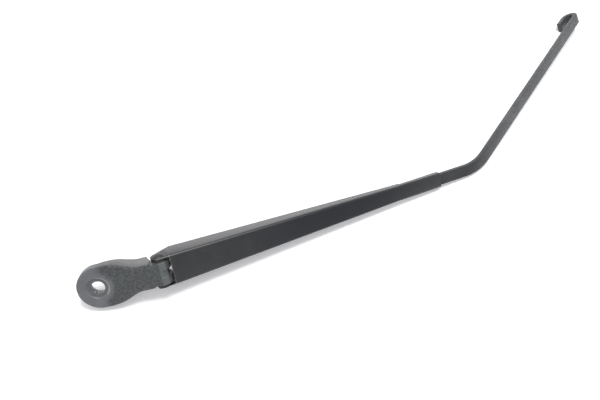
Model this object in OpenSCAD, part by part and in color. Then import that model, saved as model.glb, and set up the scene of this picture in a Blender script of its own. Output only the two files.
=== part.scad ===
// Wiper arm: a cast head that sits on the spindle, a folded steel channel hinged to it, a flat rod
// crimped into the channel and bent to a hook for the blade, and a closed-coil tension spring that
// a C-shaped link ties to the head below the hinge pin.
// Frame: origin on the spindle's axis in the head's top face, +Z along the spindle, +X to the arm.
// The arm is drawn as it rests off the car, drawn down until the spring's coils close.

/* [Head] */
// Radius of the round end
head_r = 14.2; // [13.4:0.1:15.5]
// Distance from the spindle to the middle of the round end
round_x = 1.3; // [0:0.1:2]
// Depth of the round end
tip_depth = 6; // [5.5:0.5:7.5]
// Distance from the spindle to where the underside starts to slope
slope_x = 2; // [0:0.5:6]
// Depth of the neck
head_depth = 14; // [13:0.5:16]
// Metal left above the pocket underneath
head_skin = 4.5; // [3:0.5:6]
// Side wall round the pocket
head_wall = 2.2; // [1.8:0.1:2.6]
// Rib along the middle of the pocket
head_rib = 2.4; // [1.6:0.2:3]
// Distance from the spindle to where the neck runs straight
neck_x = 26.5; // [24:0.5:30]
// How long the shoulders stay full before they draw in
shoulder_power = 1.6; // [1:0.1:2]
// Step from each side of the neck to the tongue between the ears
neck_step = 0.8; // [0.4:0.1:1]
// Distance from the anchor pin back to where the underside runs flat
heel_reach = 11; // [9:0.5:13]
// Wall of the lug round the anchor pin
lug_wall = 2.1; // [1.8:0.1:2.4]

/* [Spindle seat] */
// Diameter of the plain hole that the spindle's thread passes
bore_d = 8.6; // [8:0.1:9.6]
// Length of the plain hole
bore_land = 2.2; // [1.6:0.1:4]
// Diameter of the recess for the nut
seat_d = 14.4; // [12:0.2:17]
// Depth of the recess for the nut
seat_depth = 0.8; // [0.4:0.1:1.6]
// Diameter of the toothed cone at its mouth
cone_d = 11.2; // [10.8:0.2:12]
// Number of teeth in the cone
cone_teeth = 40; // [24:2:60]
// Depth of a tooth
tooth_depth = 0.45; // [0.3:0.05:0.6]
// Depth of the boss round the cone
boss_depth = 8; // [7:0.5:9]
// Wall of the boss round the cone
boss_wall = 2.2; // [1.8:0.1:2.8]

/* [Hinge] */
// Distance from the spindle to the hinge pin
pivot_x = 39.2; // [38:0.1:44]
// Depth of the hinge pin under the head's top face
pivot_depth = 6.9; // [6.8:0.1:8]
// Slope of the resting arm under the head's plane
rest_slope = 17; // [10:1:24]
// Largest lift of the arm from rest
full_lift = 80; // [60:1:85]
// Diameter of the hinge pin
pin_d = 5; // [4:0.1:5.4]
// Diameter of a formed pin head
pin_head_d = 8; // [7:0.2:9]
// Height of a formed pin head
pin_head_h = 1.3; // [0.8:0.1:2]
// Radius of the tongue's round nose
nose_r = 6.8; // [6.2:0.1:6.9]
// Radius of the nose inside the groove that the link swings in
groove_r = 5.2; // [4.9:0.1:5.6]
// Start of the nose's slope past the hinge pin
nose_start = 0.5; // [0:0.1:2]
// Wall of a bush
bush_wall = 1.1; // [0.8:0.1:1.3]
// Diameter of a bush's flange
bush_flange_d = 9.2; // [8.4:0.1:9.6]
// Thickness of a bush's flange
bush_flange_t = 1.5; // [1.2:0.05:1.6]
// Gap between a bush's flange and the ear
ear_gap = 0.15; // [0.1:0.05:0.3]
// Gap between the neck's step and the ears
ear_room = 0.8; // [0.6:0.1:1.2]
// Gap between the hinge pin and its bushes
pin_gap = 0.05; // [0.02:0.01:0.1]

/* [Channel] */
// Thickness of the folded sheet
sheet = 1.2; // [1:0.1:1.4]
// Length of the web
channel_len = 209; // [180:1:240]
// Width over the flanges at the hinge
hinge_w = 21.1; // [20.6:0.1:23]
// Depth of the flanges at the hinge
hinge_depth = 15.4; // [14:0.1:17]
// Outer radius of the folds
fold_r = 1.8; // [1.5:0.1:2.2]
// Length of the parallel crimped end
crimp_len = 37.5; // [30:0.5:45]
// Notch between a tapering flange and its lip
notch_w = 2; // [1.5:0.1:3]
// Width of each lip folded under the rod
lip_w = 3.2; // [2.4:0.1:3.8]
// Height of the web's face over the hinge pin
web_height = 5; // [4.8:0.1:6]
// Distance from the hinge pin to the web's cut edge
web_start = 8; // [7.6:0.1:11]
// Radius of an ear round the hinge pin
ear_r = 4.8; // [4.8:0.1:5.4]
// Radius of a flange's lower corner
cheek_r = 3.2; // [2:0.1:4]

/* [Rod] */
// Width of the rod
rod_w = 9; // [8:0.1:9.6]
// Thickness of the rod
rod_t = 4; // [3:0.1:4]
// Radius along the rod's edges
rod_edge = 0.6; // [0.3:0.1:1]
// Gap between the rod and the flanges
rod_gap = 0.1; // [0:0.05:0.2]
// Distance from the hinge pin to the rod's inner end
rod_inner_x = 99; // [90:1:110]
// Drop of the rod's inner end below the web
rod_drop = 2.9; // [2.8:0.1:3.4]
// Distance from the channel's end to the corner of the bend
rod_out = 38.2; // [30:0.1:50]
// Radius of the bend
bend_r = 48; // [36:1:60]
// Sideways angle of the bend
bend_side = 23.5; // [10:0.5:35]
// Downward angle of the bend
bend_down = 19; // [10:0.5:30]
// Distance from the bend's corner to the hook
rod_reach = 222; // [180:1:300]
// Inner radius of the hook
hook_r = 3.6; // [3:0.1:5]
// Length of the hook's open leg
hook_leg = 11; // [8:0.5:16]

/* [Spring] */
// Diameter of the holes that the spring hooks into
hook_hole_d = 3.4; // [3.2:0.1:3.8]
// Metal between the hooked wire and the rod's inner edge
hole_edge = 3.3; // [3:0.1:4]
// Diameter of the spring wire
wire_d = 2; // [1.6:0.1:2.1]
// Outer diameter of the coils
coil_d = 9; // [8.8:0.1:9.2]
// Free space between closed coils
coil_gap = 0.06; // [0.04:0.01:0.2]

/* [Spring link] */
// Distance from the hinge pin to the anchor pin
anchor_reach = 6.4; // [6.2:0.1:7]
// Direction from the hinge pin to the anchor pin
anchor_angle = 237; // [230:1:245]
// Diameter of the anchor pin
anchor_d = 3.5; // [3:0.1:3.8]
// Thickness of the link plate
link_t = 3; // [2:0.1:3.2]
// Width of the link's strip
link_w = 2.5; // [2:0.1:3]
// Distance from the anchor pin to the spring's wire in the link
link_len = 22; // [20:0.5:26]
// Wall of the link's eye round the spring's hook
eye_wall = 1.5; // [1.2:0.1:2]
// Gap between the link and what it passes
link_gap = 0.4; // [0.3:0.1:0.6]
// Gap between the link and each side of its slot
slot_gap = 0.7; // [0.5:0.1:0.9]

/* [Hidden] */

$fn = 64;
press_gap = 0.02;
crimp_gap = 0.05;
cone_step = 0.1;
overrun = 0.01;
cut = 1;
cast_grey = [0.37, 0.39, 0.40];
paint_black = [0.16, 0.17, 0.18];
rod_black = [0.22, 0.23, 0.24];
steel = [0.62, 0.62, 0.60];
zinc = [0.70, 0.70, 0.66];
nylon = [0.12, 0.12, 0.13];

// Tongue, slot and lug of the head
tongue_w = hinge_w - 2 * (sheet + ear_gap + bush_flange_t);
neck_w = tongue_w + 2 * neck_step;
tongue_x = pivot_x - ear_r - ear_room;
slot_w = link_t + 2 * slot_gap;
link_ring = link_w + anchor_d / 2;
slot_back = link_ring + link_gap;
lug_r = anchor_d / 2 + lug_wall;
boss_r = cone_d / 2 + boss_wall;
nose_corner = [nose_start, pivot_depth];
nose_slope = atan2(pivot_depth, nose_start) - acos(nose_r / norm(nose_corner));
groove_slope = atan2(pivot_depth, nose_start) - acos(groove_r / norm(nose_corner));

// Places in the arm's own frame: origin at the hinge pin, x along the channel, z out of the web
web_inside = web_height - sheet;
channel_end = web_start + channel_len;
taper_end = channel_end - crimp_len;
rod_end_w = rod_w + 2 * rod_gap + 2 * sheet;
rod_mid = web_inside - rod_t / 2;
crimp_bottom = web_inside - rod_t - crimp_gap - sheet;
anchor_arm = anchor_reach * [cos(anchor_angle + rest_slope), sin(anchor_angle + rest_slope)];

// Spring: it pulls between the link's hole and the hole in the rod's inner end
coil_r = (coil_d - wire_d) / 2;
wire_edge = wire_d / 2 + hole_edge;
pull_point = [rod_inner_x + wire_edge, rod_mid - rod_drop];
pull = pull_point - anchor_arm;
link_rest = atan2(pull[1], pull[0]);
spring_len = norm(pull) - link_len;

// Link at full lift, seen from the anchor pin: the C bends round the tongue's nose there
lift_dir = full_lift - rest_slope;
pull_lifted = [pull_point[0] * cos(lift_dir) - pull_point[1] * sin(lift_dir),
               pull_point[0] * sin(lift_dir) + pull_point[1] * cos(lift_dir)]
              - anchor_reach * [cos(anchor_angle), sin(anchor_angle)];
link_lifted = atan2(pull_lifted[1], pull_lifted[0]);
throat_r = groove_r + link_gap;

// Hinge pin seen from the link, its x along the pull: at full lift and at rest
pin_lifted = anchor_angle - 180 - link_lifted;
pin_rest = anchor_angle - 180 + rest_slope - link_rest;
nose_seen = anchor_reach * [cos(pin_lifted), sin(pin_lifted)];
mouth_low = -27;
mouth_high = 22;

// Rod: a list of steps [length, turn to the side, turn upwards] from its inner end to the hook
joggle_r = 8;
joggle_turn = 22;
joggle_slope = (rod_drop - 2 * joggle_r * (1 - cos(joggle_turn))) / sin(joggle_turn);
joggle_run = 2 * joggle_r * sin(joggle_turn) + joggle_slope * cos(joggle_turn);
rod_flat = 2 * wire_edge;
bend_turn = acos(cos(bend_side) * cos(bend_down));
bend_tangent = bend_r * tan(bend_turn / 2);
rod_straight = channel_end + rod_out - bend_tangent - rod_inner_x - rod_flat - joggle_run;
rod_steps = concat(
    [[rod_flat, 0, 0]],
    turn_steps(joggle_r, 0, joggle_turn, 4),
    [[joggle_slope, 0, 0]],
    turn_steps(joggle_r, 0, -joggle_turn, 4),
    [[rod_straight, 0, 0]],
    turn_steps(bend_r, bend_side, -bend_down, 12),
    [[rod_reach - bend_tangent, 0, 0]],
    turn_steps(hook_r + rod_t / 2, 0, -180, 14),
    [[hook_leg, 0, 0]]);

function turn_steps(r, side, up, n) =
    [for (i = [1:n]) [2 * r * sin(norm([side, up]) / (2 * n)), side / n, up / n]];

function total(steps, k, i) = i < 0 ? 0 : steps[i][k] + total(steps, k, i - 1);

function heading(side, up) = [cos(up) * cos(side), cos(up) * sin(side), sin(up)];

// Point reached after i steps, each taken along the mean of its first and last heading
function walk(steps, start, i) =
    i == 0 ? start
    : walk(steps, start, i - 1)
      + steps[i - 1][0] * heading(total(steps, 1, i - 2) + steps[i - 1][1] / 2,
                                  total(steps, 2, i - 2) + steps[i - 1][2] / 2);

function arc(center, r, from, to, n) =
    [for (i = [0:n]) center + r * [cos(from + (to - from) * i / n), sin(from + (to - from) * i / n)]];

// Closed solid through rings of equally many points, each ring counter-clockwise seen from its end.
// Each end is a strip between the ring's first half and its second half.
module loft(rings) {
    m = len(rings);
    n = len(rings[0]);
    strip = [for (j = [0:n / 2 - 2]) each [[j, j + 1, n - 2 - j], [j, n - 2 - j, n - 1 - j]]];
    sides = [for (i = [0:m - 2], j = [0:n - 1])
        let (a = i * n + j, b = a + n, c = (i + 1) * n + (j + 1) % n, d = c - n)
        each [[a, b, c], [a, c, d]]];
    end = [for (f = strip) [for (k = [2:-1:0]) (m - 1) * n + f[k]]];
    polyhedron(points = [for (r = rings, p = r) p], faces = concat(strip, sides, end));
}

// A profile drawn in x and z, as thick as told, centred on the plane y = 0
module upright(thickness) {
    rotate([90, 0, 0]) linear_extrude(thickness, center = true) children();
}

// A profile drawn in y and z, run along x
module along(length) {
    rotate([90, 0, 90]) linear_extrude(length) children();
}

// A round bar across the arm
module cross_bar(d, length) {
    rotate([90, 0, 0]) cylinder(d = d, h = length, center = true);
}

module at_pivot() {
    translate([pivot_x, 0, -pivot_depth]) children();
}

module at_anchor() {
    at_pivot() translate([anchor_reach * cos(anchor_angle), 0, anchor_reach * sin(anchor_angle)]) children();
}

module in_arm() {
    at_pivot() rotate([0, rest_slope, 0]) children();
}

// Half the head's width at a distance x from the spindle
function head_half(x) =
    let (t = min(1, (x - round_x) / (neck_x - round_x)))
    neck_w / 2 + (head_r - neck_w / 2) * (1 + cos(180 * pow(t, shoulder_power))) / 2;

// Outline of the head seen from above, drawn in by an inset and cut off square at its reach
module head_outline(inset, reach) {
    steps = 20;
    blend = [for (i = [1:steps]) round_x + (neck_x - round_x) * i / steps];
    near = [for (x = concat([for (x = blend) if (x < reach) x], [reach])) [x, head_half(x) - inset]];
    far = [for (i = [len(near) - 1:-1:0]) [near[i][0], -near[i][1]]];
    polygon(concat(arc([round_x, 0], head_r - inset, 270, 90, 60), near, far));
}

// Side view of the casting: flat top, sloped round nose, lug for the anchor pin, sloped underside
module head_profile() {
    pivot = [pivot_x, -pivot_depth];
    anchor = pivot + anchor_reach * [cos(anchor_angle), sin(anchor_angle)];
    heel = [anchor[0] - heel_reach, -head_depth];
    nose_end = anchor_angle - 360 + acos((nose_r - lug_r) / anchor_reach);
    lug_end = atan2(heel[1] - anchor[1], heel[0] - anchor[0]) + acos(lug_r / norm(heel - anchor));
    polygon(concat([[slope_x, -tip_depth], [-head_r, -tip_depth], [-head_r, 0]], [pivot + nose_corner],
                   arc(pivot, nose_r, nose_slope, nose_end, 16), arc(anchor, lug_r, nose_end, lug_end, 10),
                   [heel]));
}

// Side view, from the hinge pin, of what the groove takes off the nose
module groove_profile() {
    far = 2 * nose_r;
    low = -30;
    polygon(concat([nose_corner], arc([0, 0], groove_r, groove_slope, low, 16),
                   [[far, groove_r * sin(low)], [far, far], [nose_start, far]]));
}

// Teeth of the cone as a tapered star, wide end down
module toothed_cone(depth) {
    top_r = bore_d / 2 + cone_step;
    star = [for (i = [0:2 * cone_teeth - 1]) let (a = 180 * i / cone_teeth,
                                                  r = top_r - (i % 2) * tooth_depth * top_r * 2 / cone_d)
        r * [cos(a), sin(a)]];
    rotate([180, 0, 0]) linear_extrude(depth, scale = cone_d / 2 / top_r) polygon(star);
}

module head() {
    land_end = seat_depth + bore_land;
    slot_x = pivot_x + anchor_reach * cos(anchor_angle) - slot_back;
    pocket_end = slot_x - head_wall;
    color(cast_grey)
    difference() {
        union() {
            difference() {
                intersection() {
                    translate([0, 0, -2 * head_depth]) linear_extrude(3 * head_depth) {
                        head_outline(0, tongue_x);
                        translate([0, -tongue_w / 2]) square([pivot_x + nose_r + cut, tongue_w]);
                    }
                    upright(4 * head_r) head_profile();
                }
                translate([0, 0, -head_depth - cut]) linear_extrude(head_depth - head_skin + cut) {
                    difference() {
                        head_outline(head_wall, pocket_end);
                        translate([0, -head_rib / 2]) square([pocket_end + cut, head_rib]);
                    }
                }
            }
            translate([0, 0, -boss_depth]) cylinder(r = boss_r, h = boss_depth - land_end);
        }
        translate([0, 0, -seat_depth]) cylinder(d = seat_d, h = seat_depth + cut);
        translate([0, 0, -land_end - cut]) cylinder(d = bore_d, h = land_end + 2 * cut);
        translate([0, 0, -land_end]) toothed_cone(boss_depth - land_end + overrun);
        at_pivot() cross_bar(pin_d + 2 * pin_gap + 2 * bush_wall + 2 * press_gap, neck_w + 2 * cut);
        at_anchor() cross_bar(anchor_d + 2 * press_gap, neck_w + 2 * cut);
        translate([slot_x, -slot_w / 2, -3 * head_depth]) {
            cube([3 * head_r, slot_w, 3 * head_depth - pivot_depth - link_gap]);
        }
        at_pivot() upright(slot_w) groove_profile();
    }
}

// Flanged bush between the hinge pin and the tongue; side is 1 or -1
module bush(side) {
    inner = pin_d / 2 + pin_gap;
    flange_y = hinge_w / 2 - sheet - ear_gap;
    color(nylon)
    at_pivot() scale([1, side, 1]) rotate([-90, 0, 0]) difference() {
        union() {
            translate([0, 0, slot_w / 2]) cylinder(r = inner + bush_wall, h = flange_y - slot_w / 2);
            translate([0, 0, tongue_w / 2]) cylinder(d = bush_flange_d, h = flange_y - tongue_w / 2);
        }
        cylinder(r = inner, h = flange_y + cut);
    }
}

module bush_left() {
    bush(1);
}

module bush_right() {
    bush(-1);
}

module anchor_pin() {
    color(steel)
    at_anchor() cross_bar(anchor_d, tongue_w);
}

// Rivet through both ears, with a domed head outside each
module pivot_pin() {
    color(steel)
    in_arm() {
        cross_bar(pin_d, hinge_w);
        for (side = [-1, 1]) {
            rotate([-90 * side, 0, 0]) translate([0, 0, hinge_w / 2]) rotate_extrude() {
                dome_r = (pow(pin_head_d / 2, 2) + pow(pin_head_h, 2)) / (2 * pin_head_h);
                intersection() {
                    translate([0, pin_head_h - dome_r]) circle(r = dome_r, $fn = 128);
                    square([pin_head_d, pin_head_h]);
                }
            }
        }
    }
}

// Section of the folded sheet at x, half as wide as told
function channel_ring(x, half) =
    let (top = web_height - fold_r,
         out = concat([[half, top - hinge_depth]], arc([half - fold_r, top], fold_r, 0, 90, 5),
                      arc([fold_r - half, top], fold_r, 90, 180, 5), [[-half, top - hinge_depth]]),
         back = concat([[sheet - half, top - hinge_depth]],
                       arc([fold_r - half, top], fold_r - sheet, 180, 90, 5),
                       arc([half - fold_r, top], fold_r - sheet, 90, 0, 5),
                       [[half - sheet, top - hinge_depth]]))
    [for (p = concat(out, back)) [x, p[0], p[1]]];

// Side view of the channel: ears, deep cheeks and flanges that run out to the crimped end
module channel_profile() {
    low = web_height - hinge_depth;
    cheek = [web_start + cheek_r / 2, low + cheek_r];
    turn = atan2(cheek[1], cheek[0]) - acos((ear_r - cheek_r) / norm(cheek));
    polygon(concat([[web_start, web_height], [channel_end, web_height],
                    [channel_end, crimp_bottom + fold_r],
                    [taper_end + fold_r + notch_w, crimp_bottom + fold_r],
                    [taper_end + notch_w, crimp_bottom], [taper_end, crimp_bottom]],
                   arc(cheek, cheek_r, -90, turn, 4), arc([0, 0], ear_r, turn, -270, 20)));
}

// Section of one side of the crimped end, where a flange folds in under the rod
module crimp_lip() {
    half = rod_end_w / 2;
    tip = half - sheet - lip_w;
    polygon(concat([[tip, crimp_bottom + sheet], [tip, crimp_bottom]],
                   arc([half - fold_r, crimp_bottom + fold_r], fold_r, -90, 0, 5),
                   [[half, web_inside], [half - sheet, web_inside], [half - sheet, crimp_bottom + sheet]]));
}

module channel() {
    color(paint_black)
    in_arm() {
        difference() {
            intersection() {
                loft([channel_ring(-ear_r - cut, hinge_w / 2), channel_ring(web_start, hinge_w / 2),
                      channel_ring(taper_end, rod_end_w / 2), channel_ring(channel_end, rod_end_w / 2)]);
                upright(2 * hinge_w) channel_profile();
            }
            translate([-2 * ear_r, sheet - hinge_w / 2, -hinge_depth]) {
                cube([2 * ear_r + web_start, hinge_w - 2 * sheet, 2 * hinge_depth]);
            }
            cross_bar(pin_d + 2 * press_gap, 2 * hinge_w);
        }
        for (side = [0, 1]) {
            mirror([0, side, 0]) translate([taper_end + notch_w, 0, 0]) {
                along(crimp_len - notch_w) crimp_lip();
            }
        }
    }
}

// Section of the rod at a point on its middle line
function rod_ring(p, side, up) =
    let (a = [-sin(side), cos(side), 0],
         b = cross(heading(side, up), a),
         w = rod_w / 2 - rod_edge,
         t = rod_t / 2 - rod_edge,
         outline = concat(arc([w, t], rod_edge, 0, 90, 2), arc([-w, t], rod_edge, 90, 180, 2),
                          arc([-w, -t], rod_edge, 180, 270, 2), arc([w, -t], rod_edge, 270, 360, 2)))
    [for (q = outline) p + q[0] * a + q[1] * b];

module rod() {
    start = [rod_inner_x, 0, rod_mid - rod_drop];
    color(rod_black)
    in_arm() difference() {
        loft([for (i = [0:len(rod_steps)])
            rod_ring(walk(rod_steps, start, i), total(rod_steps, 1, i - 1), total(rod_steps, 2, i - 1))]);
        translate([pull_point[0] - (hook_hole_d - wire_d) / 2 + link_gap, 0, pull_point[1]]) {
            cylinder(d = hook_hole_d, h = 2 * rod_t, center = true);
        }
    }
}

// Wire of the spring as a list of [point, outward direction], x running along its axis.
// Its first hook lies in the plane z = 0 and its last one in the plane y = 0.
function spring_path() =
    let (lead = 1.5 * wire_d,
         coil_start = coil_r + lead,
         coil_end = spring_len - coil_r - lead,
         turns = floor((coil_end - coil_start) / (wire_d + coil_gap)) - 0.25,
         per_turn = 12,
         steps = round(turns * per_turn))
    concat(
        [for (a = [-150:20:70]) [[coil_r - coil_r * cos(a), coil_r * sin(a), 0], [-cos(a), sin(a), 0]]],
        [for (i = [0:5]) let (u = i / 6)
            coil_point(coil_r + lead * (1 - pow(1 - u, 2)), 90 * u * u)],
        [for (i = [0:steps]) coil_point(coil_start + (coil_end - coil_start) * i / steps,
                                        90 + 360 * turns * i / steps)],
        [for (i = [1:6]) let (u = i / 6) coil_point(coil_end + lead * u * u, 90 - 90 * pow(1 - u, 2))],
        [for (a = [20:20:240]) [[spring_len - coil_r + coil_r * sin(a), 0, coil_r * cos(a)],
                                [sin(a), 0, cos(a)]]]);

function coil_point(x, phase) =
    [[x, coil_r * cos(phase), coil_r * sin(phase)], [0, cos(phase), sin(phase)]];

function wire_ring(point, ahead, outward) =
    let (t = ahead / norm(ahead),
         n = outward - (outward * t) * t,
         n1 = n / norm(n),
         n2 = cross(t, n1),
         sides = 6)
    [for (k = [0:sides - 1]) point + wire_d / 2 * (cos(360 * k / sides) * n1 + sin(360 * k / sides) * n2)];

module spring() {
    path = spring_path();
    last = len(path) - 1;
    color(zinc)
    at_anchor() rotate([0, rest_slope - link_rest, 0]) translate([link_len, 0, 0]) {
        loft([for (i = [0:last])
            wire_ring(path[i][0], path[min(i + 1, last)][0] - path[max(i - 1, 0)][0], path[i][1])]);
    }
}

// Link seen from the side, its hook round the anchor pin at the origin and the spring at +x.
// The C-shaped throat clears the tongue's nose when the arm is lifted.
module link_profile() {
    strip_out = throat_r + link_w;
    eye_r = hook_hole_d / 2 + eye_wall;
    difference() {
        union() {
            circle(r = link_ring);
            intersection() {
                translate(nose_seen) circle(r = strip_out);
                translate([-strip_out, link_w / 2 - 2 * strip_out]) square([4 * strip_out, 2 * strip_out]);
            }
            translate([nose_seen[0] + throat_r, -link_w / 2]) {
                square([link_len - nose_seen[0] - throat_r, link_w]);
            }
            translate([link_len, 0]) circle(r = eye_r);
        }
        intersection() {
            translate(nose_seen) circle(r = throat_r);
            union() {
                translate([link_ring, -2 * throat_r]) square([4 * throat_r, 4 * throat_r]);
                mouth();
            }
        }
        mouth();
        translate(nose_seen) rotate(groove_slope - link_lifted) square([throat_r, 2 * throat_r]);
        circle(d = anchor_d + 2 * pin_gap);
        translate([link_len, 0]) circle(d = hook_hole_d);
    }
}

// Open side of the link's hook, where the hinge pin passes
module mouth() {
    polygon(concat([[0, 0]], arc([0, 0], throat_r, pin_lifted + mouth_low, pin_rest + mouth_high, 6)));
}

module spring_link() {
    color(steel)
    at_anchor() rotate([0, rest_slope - link_rest, 0]) upright(link_t) link_profile();
}

head();
bush_left();
bush_right();
anchor_pin();
pivot_pin();
channel();
rod();
spring();
spring_link();
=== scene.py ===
import math

import bmesh
import bpy
import numpy as np
from mathutils import Matrix, Vector


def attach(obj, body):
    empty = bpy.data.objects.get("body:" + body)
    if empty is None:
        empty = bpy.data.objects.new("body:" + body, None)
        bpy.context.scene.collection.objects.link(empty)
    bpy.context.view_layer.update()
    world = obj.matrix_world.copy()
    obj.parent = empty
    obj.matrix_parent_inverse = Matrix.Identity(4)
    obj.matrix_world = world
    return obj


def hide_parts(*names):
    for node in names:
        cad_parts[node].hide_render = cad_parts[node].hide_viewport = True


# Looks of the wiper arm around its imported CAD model. Lengths in the dictionaries are millimetres,
# turns are degrees, and colours are shares of the light that comes back.
# Row frame: origin on the spindle's axis in the head's top face, +Z out of it, +X towards the arm.

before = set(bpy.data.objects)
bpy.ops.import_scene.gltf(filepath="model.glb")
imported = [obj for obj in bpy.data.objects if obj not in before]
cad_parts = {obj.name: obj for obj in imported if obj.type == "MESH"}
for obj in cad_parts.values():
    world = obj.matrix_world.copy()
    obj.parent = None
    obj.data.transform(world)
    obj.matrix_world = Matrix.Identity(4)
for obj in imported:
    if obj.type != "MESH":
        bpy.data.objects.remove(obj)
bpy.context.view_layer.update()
mm = 0.001
print("frame loaded:", len(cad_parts), "nodes")

hinge = {
    "pin": (39.2, 0.0, -6.9),  # middle of the hinge pin
    "slope": 17.0,  # how far the resting arm runs down
    "anchorReach": 6.4,  # from the hinge pin to the anchor pin
    "anchorAngle": 237.0,
    "linkTurn": 14.25,  # how far the link's pull points down at rest
}
hingePin = np.array(hinge["pin"])
anchorTurn = math.radians(hinge["anchorAngle"])
anchorPin = hingePin + hinge["anchorReach"] * np.array([math.cos(anchorTurn), 0.0, math.sin(anchorTurn)])


def tipped(points, degrees, origin):
    # Each point turned downwards about the cross axis through (0, 0, 0), then moved by the origin
    a = math.radians(degrees)
    turn = np.array([[math.cos(a), 0, math.sin(a)], [0, 1, 0], [-math.sin(a), 0, math.cos(a)]])
    return np.asarray(points) @ turn.T + origin


def inArm(points):
    # Arm's own frame (origin at the hinge pin, x along the channel) to the row frame
    return tipped(points, hinge["slope"], hingePin)


class Shade:
    # One socket of a node tree, so that arithmetic on it adds Math nodes
    def __init__(self, tree, socket):
        self.tree, self.socket = tree, socket

    def math(self, operation, first, second=0.0):
        return self.tree.add("ShaderNodeMath", {"operation": operation}, {0: first, 1: second})

    def __add__(self, other):
        return self.math("ADD", self, other)

    __radd__ = __add__

    def __sub__(self, other):
        return self.math("SUBTRACT", self, other)

    def __rsub__(self, other):
        return self.math("SUBTRACT", other, self)

    def __mul__(self, other):
        return self.math("MULTIPLY", self, other)

    __rmul__ = __mul__

    def most(self, other):
        return self.math("MAXIMUM", self, other)

    def ramp(self, low, high):
        # Smooth step of the value, 0 at low and 1 at high; low may be the larger one
        limits = {"Value": self, "From Min": low, "From Max": high, "To Min": 0.0, "To Max": 1.0}
        return self.tree.add("ShaderNodeMapRange", {"interpolation_type": "SMOOTHSTEP"}, limits)

    def span(self, limits):
        # The same smooth step for a distance, between two limits in millimetres
        return self.ramp(limits[0] * mm, limits[1] * mm)


class NodeTree:
    # A node tree under construction: add() makes any node from its settings and its sockets' values
    def __init__(self, tree):
        self.nodes, self.links = tree.nodes, tree.links
        self.nodes.clear()

    def add(self, kind, settings=None, sockets=None, out=None):
        node = self.nodes.new(kind)
        for key, value in (settings or {}).items():
            setattr(node, key, value)
        for key, value in (sockets or {}).items():
            port = node.inputs[key] if isinstance(key, int) else next(
                s for s in node.inputs if s.name == key and s.enabled
            )
            if isinstance(value, Shade):
                self.links.new(value.socket, port)
            else:
                port.default_value = value
        found = [s for s in node.outputs if s.enabled and (out is None or s.name == out)]
        return Shade(self, found[0]) if found else None

    def raysSeen(self):
        # 1 for what the camera sees straight, in a reflection or through something clear, else 0
        straight = self.add("ShaderNodeLightPath", out="Is Camera Ray")
        kinds = straight.socket.node.outputs
        reflected, through = (Shade(self, kinds[name]) for name in ("Is Glossy Ray", "Is Transmission Ray"))
        return straight.most(reflected).most(through)


class Finish(NodeTree):
    # A material under construction: its patterns lie on Object coordinates, and surface() ends it
    def __init__(self, name):
        self.material = bpy.data.materials.new(name)
        self.material.use_nodes = True
        super().__init__(self.material.node_tree)
        self.place = self.add("ShaderNodeTexCoord", out="Object")

    def mapped(self, scale=(1, 1, 1), turn=(0, 0, 0), shift=(0, 0, 0)):
        sockets = {"Vector": self.place, "Scale": scale, "Rotation": turn, "Location": shift}
        return self.add("ShaderNodeMapping", {"vector_type": "POINT"}, sockets)

    def axes(self, vector):
        parts = self.add("ShaderNodeSeparateXYZ", None, {"Vector": vector}, out="X").socket.node
        return [Shade(self, parts.outputs[k]) for k in range(3)]

    def noise(self, scale, detail=3.0, roughness=0.5, where=None):
        # Value round 0.5 that varies over about 1 / scale metres
        sockets = {"Vector": where or self.place, "Scale": scale, "Detail": detail, "Roughness": roughness}
        return self.add("ShaderNodeTexNoise", {"noise_dimensions": "3D"}, sockets, out="Fac")

    def cells(self, scale, where):
        # Distance to the middle of the nearest of scattered cells, about 1 / scale metres across
        sockets = {"Vector": where, "Scale": scale}
        return self.add("ShaderNodeTexVoronoi", {"feature": "F1"}, sockets, out="Distance")

    def blend(self, factor, one, two):
        # Colour one where the factor is 0 and colour two where it is 1
        sockets = {"Factor": factor, "A": one, "B": two}
        return self.add("ShaderNodeMix", {"data_type": "RGBA"}, sockets, out="Result")

    def bump(self, height, depth, normal=None):
        # Normal tilted as if the surface rose by depth millimetres where the height is 1
        sockets = {"Height": height, "Distance": depth * mm, "Strength": 1.0}
        if normal is not None:
            sockets["Normal"] = normal
        return self.add("ShaderNodeBump", None, sockets, out="Normal")

    def surface(self, **values):
        # Ends the material: each value or link goes to the socket whose name it has in camelCase
        names = ["Base Color", "Roughness", "Metallic", "Normal", "Specular IOR Level"]
        names += ["Coat Weight", "Coat Roughness"]
        keys = {name[0].lower() + name[1:].replace(" ", ""): name for name in names}
        sockets = {keys[key]: value for key, value in values.items()}
        shader = self.add("ShaderNodeBsdfPrincipled", None, sockets, out="BSDF")
        self.add("ShaderNodeOutputMaterial", None, {"Surface": shader})
        return self.material


def grey(value, red=1.0, green=1.0, blue=1.0):
    return (value * red, value * green, value * blue, 1.0)


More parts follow.
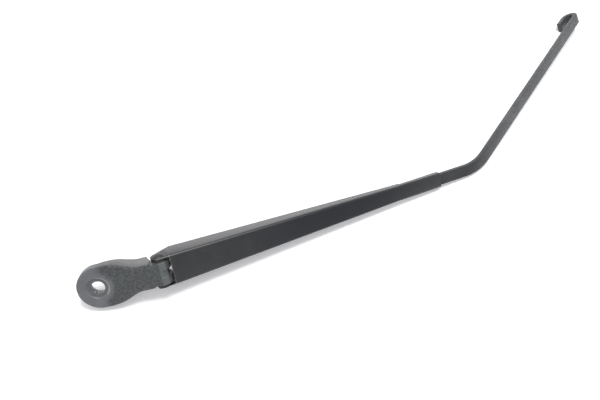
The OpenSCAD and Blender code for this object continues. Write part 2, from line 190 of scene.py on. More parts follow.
# Cast paint: smooth round the spindle, rough skin on the neck, painted highlights and shade on seat, nose and
# bore
castLook = {
    "boss": grey(0.143, 0.96, 1.0, 1.06),  # smooth paint round the spindle
    "bossCloud": grey(0.12012, 0.96, 1.0, 1.05),
    "shadedHollow": grey(0.042, 0.93, 1.0, 1.05),  # painted shade in the rough skin's hollows, with its mottled tone
    "skin": grey(0.08, 0.94, 1.0, 1.04),
    "side": grey(0.125, 1.04, 1.0, 0.97),  # lighter, cloudy side walls
    "litFacet": grey(0.105, 0.93, 1.02, 1.02),  # painted highlight on the nose's slope
    "front": grey(0.03, 0.95, 1.0, 1.0),  # shaded round front of the nose
    "rim": grey(0.34, 0.99, 1.0, 1.0),  # painted highlight on the seat's rim, on its side towards +x
    # Painted shade on the seat's floor, inside its rim
    "seat": grey(0.06),
    # Painted shade in the bore, and painted highlights on its teeth
    "tooth": grey(0.03),
    "toothWorn": grey(0.2, 1.0, 0.97, 0.94),
    "speck": grey(0.3),
    "skinFar": (7.8, 12.0),  # distances from the spindle between which the rough skin starts
    "skinAhead": (0.0, 6.0),  # and along x
    "skinDown": (-7.5, -5.0),  # heights between which it ends on the sides
    "facetStart": (39.2, 40.0),
    "frontStart": (43.0, 44.4),
    "wallDown": (-1.6, -3.5),
    "rimInner": (6.0, 6.6),
    "rimOuter": (7.6, 7.2),
    "rimUp": (-1.2, -0.7),
    "rimLitSide": (1.0, 5.5),
    "seatEdge": (6.6, 6.2),
    "seatUp": (-1.5, -1.0),
    "boreEdge": (5.8, 5.6),
    "boreDown": (-1.1, -1.3),
    "wander": 5.0,  # how far the skin's border strays
    "grain": 1.3,  # size of the skin's patches
    "skinDepth": 0.12,
    "fineDepth": 0.03,
    "shine": 0.42,
    "reflect": 0.35,
}


def castPaint():
    look = castLook
    f = Finish("cast_paint")
    x, y, z = f.axes(f.place)
    flat = f.mapped(scale=(1, 1, 0))
    far = f.add("ShaderNodeVectorMath", {"operation": "LENGTH"}, {"Vector": flat}, out="Value")
    wander = (f.noise(260.0, 2.0) - 0.5) * (look["wander"] * mm)
    litFacet = x.span(look["facetStart"])
    skin = (far + wander).span(look["skinFar"]) * x.span(look["skinAhead"]) * z.span(look["skinDown"])
    skin = skin * (1.0 - litFacet)
    dents = f.cells(1000.0 / look["grain"], f.mapped(scale=(0.85, 1.0, 1.0), turn=(0, 0, 0.6)))
    grain = f.noise(880.0, 2.0, 0.55)
    patches = (grain * 0.7 + dents * 0.42).ramp(0.36, 0.72)
    fine = f.noise(1700.0, 3.0)
    cloud = f.noise(130.0, 3.0)
    smooth = f.blend(cloud.ramp(0.3, 0.7), look["boss"], look["bossCloud"])
    # Painted shade in the skin's hollows, where its bumps are low, against the lighter skin
    colour = f.blend(skin, smooth, f.blend(patches, look["shadedHollow"], look["skin"]))
    # Painted highlight on the nose's slope, then painted shade on its round front
    colour = f.blend(litFacet, colour, look["litFacet"])
    colour = f.blend(x.span(look["frontStart"]), colour, look["front"])
    wall = z.span(look["wallDown"]) * (1.0 - litFacet)
    colour = f.blend(wall * (cloud.ramp(0.25, 0.75) * 0.4 + 0.5), colour, look["side"])
    # Painted highlight on the seat's rim, on its side towards +x
    rim = far.span(look["rimInner"]) * far.span(look["rimOuter"]) * z.span(look["rimUp"])
    edgeHighlight = rim * (x + y * 0.35 + wander).span(look["rimLitSide"])
    colour = f.blend(edgeHighlight * 0.8, colour, look["rim"])
    # Painted shade on the seat's floor
    seat = far.span(look["seatEdge"]) * z.span(look["seatUp"])
    colour = f.blend(seat * 0.3, colour, look["seat"])
    # Painted shade in the bore with painted highlights in streaks for its teeth
    bore = far.span(look["boreEdge"]) * z.span(look["boreDown"])
    teeth = f.noise(900.0, 2.0, 0.6, f.mapped(scale=(1, 1, 0.2))).ramp(0.5, 0.62)
    colour = f.blend(bore, colour, f.blend(teeth, look["tooth"], look["toothWorn"]))
    speck = f.noise(2600.0, 1.0).ramp(0.69, 0.75)
    colour = f.blend(speck * 0.16, colour, look["speck"])
    shine = (fine - 0.5) * 0.18 + (patches * skin - 0.5) * 0.05 + look["shine"]
    normal = f.bump(fine, look["fineDepth"], f.bump(patches * skin, look["skinDepth"]))
    return f.surface(baseColor=colour, roughness=shine, normal=normal, specularIORLevel=look["reflect"])


# Sheet paint: painted dark reflection mid-web, dust and painted sheen on flanges, chips and painted highlight
# on the cut edge
sheetLook = {
    "paint": grey(0.021, 0.95, 1.0, 1.08),
    "dust": grey(0.034, 0.98, 1.0, 1.03),
    "darkReflection": grey(0.006, 0.7, 1.0, 1.8),  # painted darker, bluer reflection along the web's middle
    "side": grey(0.055),  # dust and a painted sheen on the flanges' outsides
    # Chipped paint and a painted highlight on the web's cut edge
    "edgeHighlight": grey(0.3, 1.0, 0.96, 0.9),
    "darkReflectionFrom": (30.0, 110.0),  # along the arm from the hinge pin
    "darkReflectionTo": (205.0, 150.0),
    "darkReflectionUp": (3.0, 4.5),
    "sideDown": (3.8, 2.4),
    "sideFrom": (-4.0, 30.0),
    "edgeTo": (6.85, 6.45),
    "edgeFrom": (5.9, 6.0),
    "edgeUp": (3.6, 4.0),
    "depth": 0.05,
    "shine": 0.36,
    "reflect": 0.32,
    "coat": 0.1,
    "coatShine": 0.3,
}


def sheetPaint():
    look = sheetLook
    f = Finish("channel_paint")
    shift = tuple(tipped([hingePin * -mm], -hinge["slope"], 0.0)[0])
    x, y, z = f.axes(f.mapped(turn=(0, -math.radians(hinge["slope"]), 0), shift=shift))
    cloud = f.noise(45.0, 4.0, 0.6)
    fine = f.noise(900.0, 3.0)
    colour = f.blend(cloud.ramp(0.35, 0.75), look["paint"], look["dust"])
    # Painted darker, bluer reflection along the web's middle
    middle = x.span(look["darkReflectionFrom"]) * x.span(look["darkReflectionTo"]) * z.span(look["darkReflectionUp"])
    colour = f.blend(middle * 0.85, colour, look["darkReflection"])
    # Dust and a painted sheen on the flanges
    flankDustAndSheen = z.span(look["sideDown"]) * x.span(look["sideFrom"]) * (cloud.ramp(0.2, 0.7) * 0.5 + 0.5)
    colour = f.blend(flankDustAndSheen, colour, look["side"])
    # Chipped paint and a painted highlight along the web's cut edge
    edge = x.span(look["edgeTo"]) * z.span(look["edgeUp"]) * x.span(look["edgeFrom"])
    chips = f.noise(700.0, 4.0, 0.7).ramp(0.56, 0.62)
    colour = f.blend(edge * (chips * 0.6 + 0.3), colour, look["edgeHighlight"])
    shine = (fine - 0.5) * 0.12 + (cloud - 0.5) * 0.16 + look["shine"]
    return f.surface(
        baseColor=colour,
        roughness=shine,
        normal=f.bump(f.noise(420.0, 2.0), look["depth"]),
        specularIORLevel=look["reflect"],
        coatWeight=look["coat"],
        coatRoughness=look["coatShine"],
    )


# Rod paint: dark near the channel, lighter and pored past the bend
barLook = {
    "near": (grey(0.022, 0.97, 1.0, 1.12), grey(0.034, 0.98, 1.0, 1.1)),
    "beyond": (grey(0.076, 0.97, 1.0, 1.05), grey(0.106, 0.98, 1.0, 1.04)),
    "pore": grey(0.036),
    "speck": grey(0.2),
    "lighterFrom": (265.0, 330.0),  # along x
    "poresFrom": (250.0, 300.0),
    "poreDepth": 0.05,
    "fineDepth": 0.04,
    "shine": 0.42,
    "reflect": 0.33,
}


def rodPaint():
    look = barLook
    f = Finish("rod_paint")
    x, y, z = f.axes(f.place)
    cloud = f.noise(60.0, 3.0).ramp(0.3, 0.7)
    fine = f.noise(1100.0, 3.0)
    pores = f.noise(620.0, 2.0).ramp(0.42, 0.58) * x.span(look["poresFrom"])
    beyond = f.blend(pores * 0.62, f.blend(cloud, *look["beyond"]), look["pore"])
    colour = f.blend(x.span(look["lighterFrom"]), f.blend(cloud, *look["near"]), beyond)
    speck = f.noise(1900.0, 1.0).ramp(0.7, 0.75)
    colour = f.blend(speck * 0.3, colour, look["speck"])
    shine = (fine - 0.5) * 0.16 + look["shine"]
    normal = f.bump(fine, look["fineDepth"], f.bump(pores, look["poreDepth"]))
    return f.surface(baseColor=colour, roughness=shine, normal=normal, specularIORLevel=look["reflect"])


def plainSteel(name, colour, shine, mottle):
    # Bare or plated steel with faint cloudiness and fine scratches along x
    f = Finish(name)
    cloud = f.noise(500.0, 3.0)
    lines = f.noise(900.0, 2.0, 0.6, f.mapped(scale=(0.15, 1, 1)))
    dull = tuple(c * 0.55 for c in colour[:3]) + (1.0,)
    shade = f.blend(cloud.ramp(0.35, 0.7) * mottle, colour, dull)
    rough = (lines - 0.5) * 0.25 + shine
    return f.surface(baseColor=shade, metallic=0.9, roughness=rough, normal=f.bump(lines, 0.02))


def nylonFinish():
    f = Finish("nylon")
    cloud = f.noise(400.0, 2.0)
    colour = f.blend(cloud, grey(0.022), grey(0.032))
    return f.surface(baseColor=colour, roughness=(cloud - 0.5) * 0.1 + 0.45)


# Each finish by its slot's name; plain steels as colour, roughness and cloudiness
steels = {
    "painted_pin": (grey(0.09), 0.42, 0.8),
    "pin_steel": (grey(0.5, 1.0, 0.98, 0.94), 0.35, 0.5),
    "spring_steel": (grey(0.5, 1.0, 0.98, 0.92), 0.33, 0.6),
    "link_steel": (grey(0.47, 1.0, 0.9787, 0.9149), 0.38, 0.6),
}
finishes = {
    "cast_paint": castPaint(),
    "channel_paint": sheetPaint(),
    "rod_paint": rodPaint(),
    "nylon": nylonFinish(),
}
finishes.update({name: plainSteel(name, *values) for name, values in steels.items()})
print("finishes made:", len(finishes))


def gridFaces(rows, columns):
    # Quads between each row of points and the next, each row closed round
    row, here = np.meshgrid(np.arange(rows - 1) * columns, np.arange(columns), indexing="ij")
    after = (here + 1) % columns
    quads = np.stack([row + here, row + after, row + columns + after, row + columns + here], axis=-1)
    return quads.reshape(-1, 4).tolist()


def getPoints(mesh):
    # Every point of the mesh, in millimetres
    flat = np.zeros(len(mesh.vertices) * 3, np.float32)
    mesh.vertices.foreach_get("co", flat)
    return flat.reshape(-1, 3).astype(float) / mm


def setPoints(mesh, points):
    mesh.vertices.foreach_set("co", (points * mm).astype(np.float32).ravel())
    mesh.update()


def makePiece(name, points, faces, sharpAngle=35.0):
    # Mesh object from points in millimetres in the row frame, smooth where faces meet flatter than the angle
    mesh = bpy.data.meshes.new(name)
    mesh.from_pydata((np.asarray(points) * mm).tolist(), [], faces)
    mesh.update()
    mesh.shade_smooth()
    mesh.set_sharp_from_angle(angle=math.radians(sharpAngle))
    piece = bpy.data.objects.new(name, mesh)
    bpy.context.scene.collection.objects.link(piece)
    return piece


def dress(piece, node, slot, body):
    # The piece stands for the CAD node, in the slot's finish, on the body
    piece.data.materials.clear()
    piece.data.materials.append(finishes[slot])
    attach(piece, body)
    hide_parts(node)
    return piece


def ringSweep(centres, sides, ups, profile):
    # Closed tube: profile points (a, b) carried to centre + a * side + b * up at each station
    rings = (
        centres[:, None, :]
        + profile[None, :, 0, None] * sides[:, None, :]
        + profile[None, :, 1, None] * ups[:, None, :]
    )
    rows, columns = rings.shape[:2]
    faces = gridFaces(rows, columns)
    faces = [list(range(columns))[::-1]] + faces + [list(range((rows - 1) * columns, rows * columns))]
    return rings.reshape(-1, 3), faces


def outwards(piece):
    # Faces of a closed mesh turned to point out of it
    bm = bmesh.new()
    bm.from_mesh(piece.data)
    bmesh.ops.remove_doubles(bm, verts=bm.verts, dist=1e-7)
    bmesh.ops.recalc_face_normals(bm, faces=bm.faces)
    bm.to_mesh(piece.data)
    bm.free()
    return piece


def turned(name, profile, centre, side, steps=64):
    # Turned piece: a profile point (along, radius) goes to (radius * cos a, side * along, radius * sin a)
    # from the centre, for each angle a round the cross axis. The profile ends on the axis or where it starts
    a = np.linspace(0, 2 * math.pi, steps, endpoint=False)
    ring = np.stack([np.cos(a), np.zeros(steps), np.sin(a)], axis=1)
    prof = np.asarray(profile, float)
    points = prof[:, None, 1, None] * ring[None] + np.array([0, side, 0]) * prof[:, None, 0, None]
    faces = gridFaces(len(prof), steps)
    return outwards(makePiece(name, points.reshape(-1, 3) + centre, faces))


def rounded(corners, radius, steps=4):
    # Open profile with each inner corner c between a and b, points at the radius from c towards its
    # neighbours, replaced by the curve (1 - t) ** 2 * a + 2 * t * (1 - t) * c + t ** 2 * b
    corners = np.asarray(corners, float)
    out = [corners[0]]
    for before, corner, after in zip(corners, corners[1:], corners[2:]):
        back, on = np.linalg.norm(before - corner), np.linalg.norm(after - corner)
        reach = min(radius, 0.45 * back, 0.45 * on)  # a little less than half of the shorter leg
        one = corner + reach * (before - corner) / back
        two = corner + reach * (after - corner) / on
        t = np.linspace(0, 1, steps + 1)[:, None]
        out.extend((1 - t) ** 2 * one + 2 * t * (1 - t) * corner + t**2 * two)
    out.append(corners[-1])
    return np.array(out)


def refined(node, name, edge, sharpAngle=40.0):
    # Copy of a CAD node: its triangles merged to flat faces, its edges sharper than the angle rounded
    piece = bpy.data.objects.new(name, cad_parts[node].data.copy())
    piece.data.name = name
    bpy.context.scene.collection.objects.link(piece)
    bm = bmesh.new()
    bm.from_mesh(piece.data)
    bmesh.ops.remove_doubles(bm, verts=bm.verts, dist=2e-6)
    bmesh.ops.dissolve_limit(bm, angle_limit=math.radians(0.4), verts=bm.verts, edges=bm.edges)
    bm.to_mesh(piece.data)
    bm.free()
    piece.data.shade_smooth()
    bevel = piece.modifiers.new("edge", "BEVEL")
    bevel.width = edge * mm
    bevel.segments = 2
    bevel.limit_method = "ANGLE"
    bevel.angle_limit = math.radians(sharpAngle)
    bevel.harden_normals = True
    bevel.use_clamp_overlap = True
    return piece


def smoothed(piece, times):
    # Each point moved halfway to the middle of its neighbours, as often as told
    smooth = piece.modifiers.new("soft", "SMOOTH")
    smooth.factor = 0.5
    smooth.iterations = times


def baked(piece):
    # The piece's mesh with its modifiers applied
    graph = bpy.context.evaluated_depsgraph_get()
    mesh = bpy.data.meshes.new_from_object(piece.evaluated_get(graph), depsgraph=graph)
    piece.modifiers.clear()
    piece.data = mesh
    return piece


# Head: the casting, its skin remeshed, its top edge well rounded and the seat round the hole dished
headLook = {
    "edge": 0.5,
    "voxel": 0.27,
    "soft": (5, 2),  # smoothing rounds before and after the top edge is rounded
    "roundX": 1.3,
    "roundRadius": 14.2,
    "neckX": 26.5,
    "neckHalf": 8.5,
    "fullness": 1.6,
    "tongueX": 33.6,
    "tongueHalf": 7.7,
    "outlineEnd": 46.0,
    "outlineStep": 0.15,
    "rounding": (1.1, 2.1),  # radius of the top edge at the round end and on the neck
    "roundingX": (10.0, 22.0),  # where it grows from the one to the other
    "topEnd": 39.5,  # x past which the top is left as it is, at the nose's slope
    "fade": 3.0,  # length over which the radius shrinks before that
    "least": 0.08,  # points nearer to the outline than this only sink
    "hole": 4.75,  # radius that the seat's slope leaves alone round the hole
    "dish": (6.5, 7.25, 0.8),  # inner and outer radius and depth of the seat's sloped rim
    "relief": ((30.7, -17.0), (30.7, -13.8), (33.9, -7.6), (33.9, -17.0)),  # x and z of the cut-away
    "reliefSide": (4.6, 12.0),  # how far from the middle it starts and ends
}


def smoothStep(value, start, end):
    # t * t * (3 - 2 * t), with t from 0 at start to 1 at end
    t = np.clip((value - start) / (end - start), 0, 1)
    return t * t * (3 - 2 * t)


def headOutline():
    # Half outline from above: round end about roundX, then half = neckHalf + (roundRadius - neckHalf) *
    # (1 + cos(pi * t ** fullness)) / 2 with t from 0 at roundX to 1 at neckX, then the neck and the tongue
    k = headLook
    a = np.radians(np.linspace(180, 90, 120))
    end = np.stack([k["roundX"] + k["roundRadius"] * np.cos(a), k["roundRadius"] * np.sin(a)], axis=1)
    x = np.arange(k["roundX"], k["tongueX"], k["outlineStep"])
    t = np.clip((x - k["roundX"]) / (k["neckX"] - k["roundX"]), 0, 1)
    half = k["neckHalf"] + (k["roundRadius"] - k["neckHalf"]) * (1 + np.cos(np.pi * t ** k["fullness"])) / 2
    neck = np.stack([x, half], axis=1)
    x = np.arange(k["tongueX"], k["outlineEnd"], k["outlineStep"])
    return np.vstack([end, neck, np.stack([x, 0 * x + k["tongueHalf"]], axis=1)])


def roundTop(points):
    # Points nearer to the outline and to the top than the radius r move onto the quarter circle
    # (r - inset) ** 2 + (r + z) ** 2 = r ** 2, and points in the seat's rim move onto its slope,
    # z = -depth * smoothStep from the outer radius to the inner
    k = headLook
    line = headOutline()
    low, high = k["rounding"]
    x, y, z = points.T
    radius = low + (high - low) * smoothStep(x, *k["roundingX"])
    radius = radius * np.clip((k["topEnd"] + 0.1 - x) / k["fade"], 0.05, 1)
    chosen = np.flatnonzero((z > -radius) & (x < k["topEnd"]))
    for part in np.array_split(chosen, len(chosen) // 5000 + 1):  # in parts, to spare memory
        here = np.stack([x[part], np.abs(y[part])], axis=1)
        gap = np.linalg.norm(here[:, None] - line[None], axis=2)
        nearest = np.argmin(gap, axis=1)
        inset = gap[np.arange(len(part)), nearest]
        r = radius[part]
        u, w = r - inset, r + z[part]
        reach = np.maximum(np.hypot(u, w), 1e-6)
        moved = (inset < r) & (reach > r)
        inward = (here - line[nearest]) / np.maximum(inset, 0.05)[:, None]
        push = np.where(moved & (inset > k["least"]), r - u * r / reach - inset, 0.0)
        points[part, 0] += inward[:, 0] * push
        points[part, 1] += np.sign(y[part]) * inward[:, 1] * push
        points[part, 2] = np.where(moved, w * r / reach - r, z[part])
    inner, outer, depth = k["dish"]
    far = np.hypot(x, y)
    rim = (far > k["hole"]) & (far < outer + 0.4) & (z > -depth - 0.2)
    points[rim, 2] = -depth * smoothStep(far[rim], outer, inner)
    return points


def makeRelief():
    # Cutter: one prism on each side, the relief's outline drawn from its start to its end along y
    wedges, faces = [], []
    for side in (1, -1):
        first = len(wedges)
        wedges.extend((x, side * y, z) for y in headLook["reliefSide"] for x, z in headLook["relief"])
        faces.extend([first + i for i in face] for face in ((0, 1, 2, 3), (7, 6, 5, 4)))
        for i in range(4):
            after = (i + 1) % 4
            faces.append([first + i, first + 4 + i, first + 4 + after, first + after])
    return outwards(makePiece("relief", wedges, faces))


def cutOut(piece, cutter):
    # The cutter's volume taken out of the piece; the cutter is removed once the piece is baked
    cut = piece.modifiers.new("cut", "BOOLEAN")
    cut.object = cutter
    cut.operation = "DIFFERENCE"


def makeHead():
    # The casting less the reliefs, remeshed in small voxels, smoothed, its top rounded, smoothed again
    look = headLook
    head = refined("head", "castHead", look["edge"])
    relief = makeRelief()
    cutOut(head, relief)
    remesh = head.modifiers.new("skin", "REMESH")
    remesh.mode = "VOXEL"
    remesh.voxel_size = look["voxel"] * mm
    remesh.use_smooth_shade = True
    before, after = look["soft"]
    smoothed(head, before)
    baked(head)
    bpy.data.objects.remove(relief)
    setPoints(head.data, roundTop(getPoints(head.data)))
    smoothed(head, after)
    return dress(baked(head), "head", "cast_paint", "spindle_head")


makeHead()
print("head made")

# Hinge: bushes, rivet and anchor pin, turned with small edge radii
pinLook = {
    "bushInner": 2.55,
    "bushOuter": 3.65,
    "bushFlange": 4.6,
    "bushStart": 2.2,
    "tongueSide": 7.7,
    "bushEnd": 9.2,
    "bushEdge": 0.18,
    "shank": 2.5,
    "overEars": 10.55,
    "headRadius": 4.0,
    "headHeight": 1.3,
    "headRim": 0.15,
    "anchorRadius": 1.75,
    "anchorHalf": 7.7,
    "anchorEdge": 0.3,
}


def makeBush(name, side):
    # Turned ring: a tube from its start to the tongue's side, then a flange up to the ear
    k = pinLook
    shape = [
        (k["bushStart"], k["bushInner"]),
        (k["bushStart"], k["bushOuter"]),
        (k["tongueSide"], k["bushOuter"]),
        (k["tongueSide"], k["bushFlange"]),
        (k["bushEnd"], k["bushFlange"]),
        (k["bushEnd"], k["bushInner"]),
    ]
    prof = rounded(shape, k["bushEdge"])
    prof = np.vstack([prof, prof[:1]])
    piece = turned(name + "Turned", prof, hingePin, side)
    return dress(piece, name, "nylon", "spindle_head")


def makePivotPin():
    # Turned rivet: a shank with a dome at each end, part of a sphere of radius (a * a + h * h) / (2 * h)
    # for a head of radius a and height h
    k = pinLook
    domeRadius = (k["headRadius"] ** 2 + k["headHeight"] ** 2) / (2 * k["headHeight"])
    a = np.linspace(math.asin(k["headRadius"] / domeRadius), 0, 10)
    y = k["overEars"] + k["headHeight"] - domeRadius + domeRadius * np.cos(a)
    half = np.stack([y, domeRadius * np.sin(a)], axis=1)
    half[-1, 1] = 0.0
    under = k["headRadius"] - k["headRim"]
    shank = np.array([[0.0, k["shank"]], [k["overEars"], k["shank"]], [k["overEars"], under]])
    half = np.vstack([shank, half])
    prof = np.vstack([(half * [-1, 1])[::-1], half[1:]])
    return dress(turned("rivetTurned", prof, hingePin, 1.0), "pivot_pin", "painted_pin", "arm")


def makeAnchorPin():
    # Turned plain pin with eased ends
    half, radius = pinLook["anchorHalf"], pinLook["anchorRadius"]
    prof = rounded([(-half, 0.0), (-half, radius), (half, radius), (half, 0.0)], pinLook["anchorEdge"])
    return dress(turned("anchorTurned", prof, anchorPin, 1.0), "anchor_pin", "pin_steel", "spindle_head")


makeBush("bush_left", 1.0)
makeBush("bush_right", -1.0)
makePivotPin()
makeAnchorPin()
print("hinge pieces made")

# Channel: the folded sheet with its cut edges eased and its web brought up close to the nose
channelLook = {
    "edge": 0.22,
    "webStart": 8.0,
    "webDrawn": 1.7,  # how far the cut edge is brought towards the nose
    "between": 9.36,  # half of the web's width between the flanges there
    "underWeb": 3.7,
}


def makeChannel():
    # The points of the web's cut edge, found by their place in the arm's own frame, move along x
    look = channelLook
    channel = refined("channel", "foldedChannel", look["edge"])
    points = tipped(getPoints(channel.data) - hingePin, -hinge["slope"], 0.0)
    cutEdge = (np.abs(points[:, 0] - look["webStart"]) < 0.05) & (np.abs(points[:, 1]) < look["between"])
    cutEdge &= points[:, 2] > look["underWeb"]
    points[cutEdge, 0] -= look["webDrawn"]
    setPoints(channel.data, inArm(points))
    print("web edge points moved:", int(cutEdge.sum()))
    return dress(channel, "channel", "channel_paint", "arm")


makeChannel()
print("channel made")

# Rod: a flat bar with rounded edges carried along its joggle, bend and hook
rodLook = {
    "width": 9.0,
    "thick": 4.0,
    "edge": 0.6,
    "start": (99.0, 0.0, -1.1),  # in the arm's own frame, as the places below
    "flat": 8.6,
    "joggleRadius": 8.0,
    "joggleTurn": 22.0,
    "drop": 2.9,
    "channelEnd": 217.0,
    "out": 38.2,  # from the channel to the bend's corner
    "bendRadius": 48.0,
    "bendSide": 23.5,
    "bendDown": 19.0,
    "reach": 222.0,  # from the bend's corner to the hook
    "hookRadius": 3.55,
    "hookLeg": 11.0,
    "hole": 3.4,
    "holeAt": 103.0,
    "drillEnds": (-9.0, 7.0),
}


def roundBar(width, thick, edge, steps=4):
    # Closed section: a rectangle whose corners are quarter circles, points counter-clockwise
    across, up = width / 2 - edge, thick / 2 - edge
    corners = np.repeat([[across, up], [-across, up], [-across, -up], [across, -up]], steps + 1, axis=0)
    a = np.radians((np.arange(4)[:, None] * 90 + np.linspace(0, 90, steps + 1)).ravel())
    return corners + edge * np.stack([np.cos(a), np.sin(a)], axis=1)


def circle(radius, count):
    a = np.linspace(0, 2 * math.pi, count, endpoint=False)
    return radius * np.stack([np.cos(a), np.sin(a)], axis=1)


def heading(turns):
    # Unit direction of each pair of turns, first to the side and then upwards
    side, up = turns.T
    return np.stack([np.cos(up) * np.cos(side), np.cos(up) * np.sin(side), np.sin(up)], axis=1)


def turnSteps(radius, side, up, count):
    # Equal steps [length, turn to the side, turn upwards] whose chords lie on a circle of the radius
    length = 2 * radius * math.sin(math.radians(math.hypot(side, up) / (2 * count)))
    return [[length, side / count, up / count]] * count


def makeRod():
    # The bar's section is carried along a path of straight steps. Each step goes ahead by its length in
    # the direction halfway through its turn: place = start + the sum of length * heading
    k = rodLook
    a = math.radians(k["joggleTurn"])
    slope = (k["drop"] - 2 * k["joggleRadius"] * (1 - math.cos(a))) / math.sin(a)
    run = 2 * k["joggleRadius"] * math.sin(a) + slope * math.cos(a)
    cosBend = math.cos(math.radians(k["bendSide"])) * math.cos(math.radians(k["bendDown"]))
    tangent = k["bendRadius"] * math.tan(math.acos(cosBend) / 2)
    straight = k["channelEnd"] + k["out"] - tangent - k["start"][0] - k["flat"] - run
    steps = np.array(
        [[k["flat"], 0, 0]]
        + turnSteps(k["joggleRadius"], 0, k["joggleTurn"], 10)
        + [[slope, 0, 0]]
        + turnSteps(k["joggleRadius"], 0, -k["joggleTurn"], 10)
        + [[straight, 0, 0]]
        + turnSteps(k["bendRadius"], k["bendSide"], -k["bendDown"], 36)
        + [[k["reach"] - tangent, 0, 0]]
        + turnSteps(k["hookRadius"] + k["thick"] / 2, 0, -180, 40)
        + [[k["hookLeg"], 0, 0]]
    )
    after = np.radians(np.cumsum(steps[:, 1:], axis=0))
    middle = after - np.radians(steps[:, 1:]) / 2
    centres = np.vstack([k["start"], k["start"] + np.cumsum(steps[:, :1] * heading(middle), axis=0)])
    turns = np.vstack([[0, 0], after])
    sides = np.stack([-np.sin(turns[:, 0]), np.cos(turns[:, 0]), np.zeros(len(turns))], axis=1)
    ups = np.cross(heading(turns), sides)
    points, faces = ringSweep(centres, sides, ups, roundBar(k["width"], k["thick"], k["edge"]))
    rod = outwards(makePiece("bentRod", inArm(points), faces))
    ends = np.array([[k["holeAt"], 0, z] for z in k["drillEnds"]])
    along, across = np.array([[[1.0, 0.0, 0.0]] * 2, [[0.0, 1.0, 0.0]] * 2])
    points, faces = ringSweep(ends, along, across, circle(k["hole"] / 2, 40))
    drill = outwards(makePiece("drill", inArm(points), faces))
    cutOut(rod, drill)
    baked(rod)
    bpy.data.objects.remove(drill)
    return dress(rod, "rod", "rod_paint", "arm")


makeRod()
print("rod made")

# Spring: one wire, hooked at both ends and coiled tight between them
springLook = {
    "wire": 1.0,  # radius of the wire, and of the coil's middle line below
    "coil": 3.5,
    "lead": 3.0,  # length of the wire's way from each hook into the coil
    "linkLength": 22.0,  # from the anchor pin to the first hook
    "length": 83.19,
    "turns": 33.75,
    "perTurn": 24,
    "round": 10,
}


def makeSpring():
    # The wire's middle line runs along x: a hook lying flat, a lead in, the coil
    # (x, coil * cos phase, coil * sin phase) with x rising evenly, a lead out, and a hook standing up
    k = springLook
    r, length, turns = k["coil"], k["length"], k["turns"]
    start, end = r + k["lead"], length - r - k["lead"]
    a = np.radians(np.linspace(-150, 60, 15))
    firstHook = np.stack([r - r * np.cos(a), r * np.sin(a), 0 * a], axis=1)
    u = np.linspace(0, 1, 9)[:-1]
    v = np.linspace(0, 1, 9)[1:]
    t = np.linspace(0, 1, int(turns * k["perTurn"]) + 1)
    phase = np.radians(np.concatenate([90 * u * u, 90 + 360 * turns * t, 90 - 90 * (1 - v) ** 2]))
    leadIn, leadOut = r + k["lead"] * (1 - (1 - u) ** 2), end + k["lead"] * v * v
    along = np.concatenate([leadIn, start + (end - start) * t, leadOut])
    coil = np.stack([along, r * np.cos(phase), r * np.sin(phase)], axis=1)
    b = np.radians(np.linspace(14, 240, 18))
    lastHook = np.stack([length - r + r * np.sin(b), 0 * b, r * np.cos(b)], axis=1)
    path = np.vstack([firstHook, coil, lastHook])
    out = np.vstack(
        [
            np.stack([-np.cos(a), np.sin(a), 0 * a], axis=1),
            np.stack([0 * phase, np.cos(phase), np.sin(phase)], axis=1),
            np.stack([np.sin(b), 0 * b, np.cos(b)], axis=1),
        ]
    )
    ahead = np.gradient(path, axis=0)
    ahead /= np.linalg.norm(ahead, axis=1, keepdims=True)
    out -= np.sum(out * ahead, axis=1, keepdims=True) * ahead
    out /= np.linalg.norm(out, axis=1, keepdims=True)
    points, faces = ringSweep(path, out, np.cross(ahead, out), circle(k["wire"], k["round"]))
    points = tipped(points + [k["linkLength"], 0, 0], hinge["linkTurn"], anchorPin)
    return dress(outwards(makePiece("coiledSpring", points, faces, 50.0)), "spring", "spring_steel", "arm")


makeSpring()
print("spring made")

# Link: the pressed C-shaped strap, its edges eased
linkLook = {"edge": 0.25}
dress(refined("spring_link", "pressedLink", linkLook["edge"]), "spring_link", "link_steel", "link")
print("link made")

# Studio: a white floor that the arm lies on, a pale sky, one broad lamp and the camera; in metres
studio = {
    "floorNormal": (0.139, 0.7669, 0.6265),
    "floorPoint": (0.0089, -0.0139, -0.00845),
    "floorHalf": 4.0,
    "floorColour": grey(0.9, 1.0, 0.99, 1.012),
    "floorGlow": 0.22,  # light that the floor adds where it is seen, so that its shadows stay soft
    "skyColour": (0.97, 0.985, 1.0, 1.0),
    "skyPower": 0.7,
    "keyPlace": (0.336, 1.09, 0.5),
    "keyTarget": (0.12, 0.0, -0.04),
    "keySize": 0.5,
    "keyPower": 12.0,
}


def makeFloor():
    # Square whose corners are the point +/- half along the plane; its back is clear, so that the arm
    # is seen from below too
    k = studio
    half = k["floorHalf"]
    turn = Vector(k["floorNormal"]).to_track_quat("Z", "Y").to_matrix().to_4x4()
    place = Matrix.Translation(k["floorPoint"]) @ turn
    corners = [place @ Vector((x * half, y * half, 0)) for x, y in ((-1, -1), (1, -1), (1, 1), (-1, 1))]
    mesh = bpy.data.meshes.new("floor")
    mesh.from_pydata(corners, [], [(0, 1, 2, 3)])
    floor = bpy.data.objects.new("floor", mesh)
    bpy.context.scene.collection.objects.link(floor)
    f = Finish("floor_white")
    white = f.add("ShaderNodeBsdfDiffuse", None, {"Color": k["floorColour"]})
    glow = f.add("ShaderNodeEmission", None, {"Color": grey(1.0), "Strength": f.raysSeen() * k["floorGlow"]})
    front = f.add("ShaderNodeAddShader", None, {0: white, 1: glow})
    clear = f.add("ShaderNodeBsdfTransparent")
    back = f.add("ShaderNodeNewGeometry", out="Backfacing")
    mixed = f.add("ShaderNodeMixShader", None, {0: back, 1: front, 2: clear})
    f.add("ShaderNodeOutputMaterial", None, {"Surface": mixed})
    mesh.materials.append(f.material)


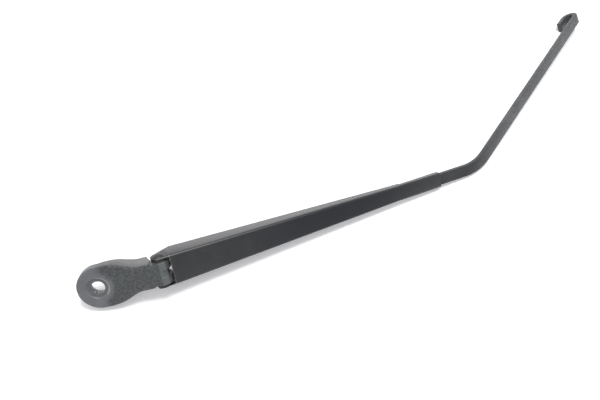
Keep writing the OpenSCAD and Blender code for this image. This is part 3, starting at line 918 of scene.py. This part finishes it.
def makeWorld():
    # Sky that lights the arm at one level and is plain white where it is seen
    world = bpy.data.worlds.new("studio")
    bpy.context.scene.world = world
    world.use_nodes = True
    sky = NodeTree(world.node_tree)
    lit = sky.add("ShaderNodeBackground", None, {"Color": studio["skyColour"], "Strength": studio["skyPower"]})
    shown = sky.add("ShaderNodeBackground", None, {"Color": grey(1.0), "Strength": 1.0})
    mixed = sky.add("ShaderNodeMixShader", None, {0: sky.raysSeen(), 1: lit, 2: shown})
    sky.add("ShaderNodeOutputWorld", None, {"Surface": mixed})


def makeLamp(name, place, target, size, power):
    # Round lamp at the place, facing the target
    light = bpy.data.lights.new(name, "AREA")
    light.shape = "DISK"
    light.size = size
    light.energy = power
    lamp = bpy.data.objects.new(name, light)
    lamp.location = place
    lamp.rotation_mode = "QUATERNION"
    lamp.rotation_quaternion = (Vector(target) - Vector(place)).to_track_quat("-Z", "Y")
    bpy.context.scene.collection.objects.link(lamp)


view = {
    "place": (0.110607, 0.145944, 0.31341),
    "right": (0.97779517, -0.16204006, 0.13288955),
    "down": (-0.19747655, -0.92469459, 0.32548876),
    "ahead": (0.07014003, -0.3445039, -0.93616101),
    "lens": 32.4,
    "sensor": 36.0,
    "halfPixel": 0.5 / 600,
    "clip": (0.01, 50.0),
}


def makeCamera():
    # Camera found by fitting the channel's, rod's and head's edges in the photograph
    data = bpy.data.cameras.new("camera")
    data.sensor_width = view["sensor"]
    data.lens = view["lens"]
    data.shift_x, data.shift_y = -view["halfPixel"], view["halfPixel"]
    data.clip_start, data.clip_end = view["clip"]
    camera = bpy.data.objects.new("camera", data)
    axes = (Vector(view["right"]), -Vector(view["down"]), -Vector(view["ahead"]))
    camera.matrix_world = Matrix.Translation(view["place"]) @ Matrix(axes).transposed().to_4x4()
    bpy.context.scene.collection.objects.link(camera)
    bpy.context.scene.camera = camera


makeFloor()
makeWorld()
makeLamp("key", studio["keyPlace"], studio["keyTarget"], studio["keySize"], studio["keyPower"])
makeCamera()
bpy.context.scene.view_settings.view_transform = "Standard"
print("studio made")
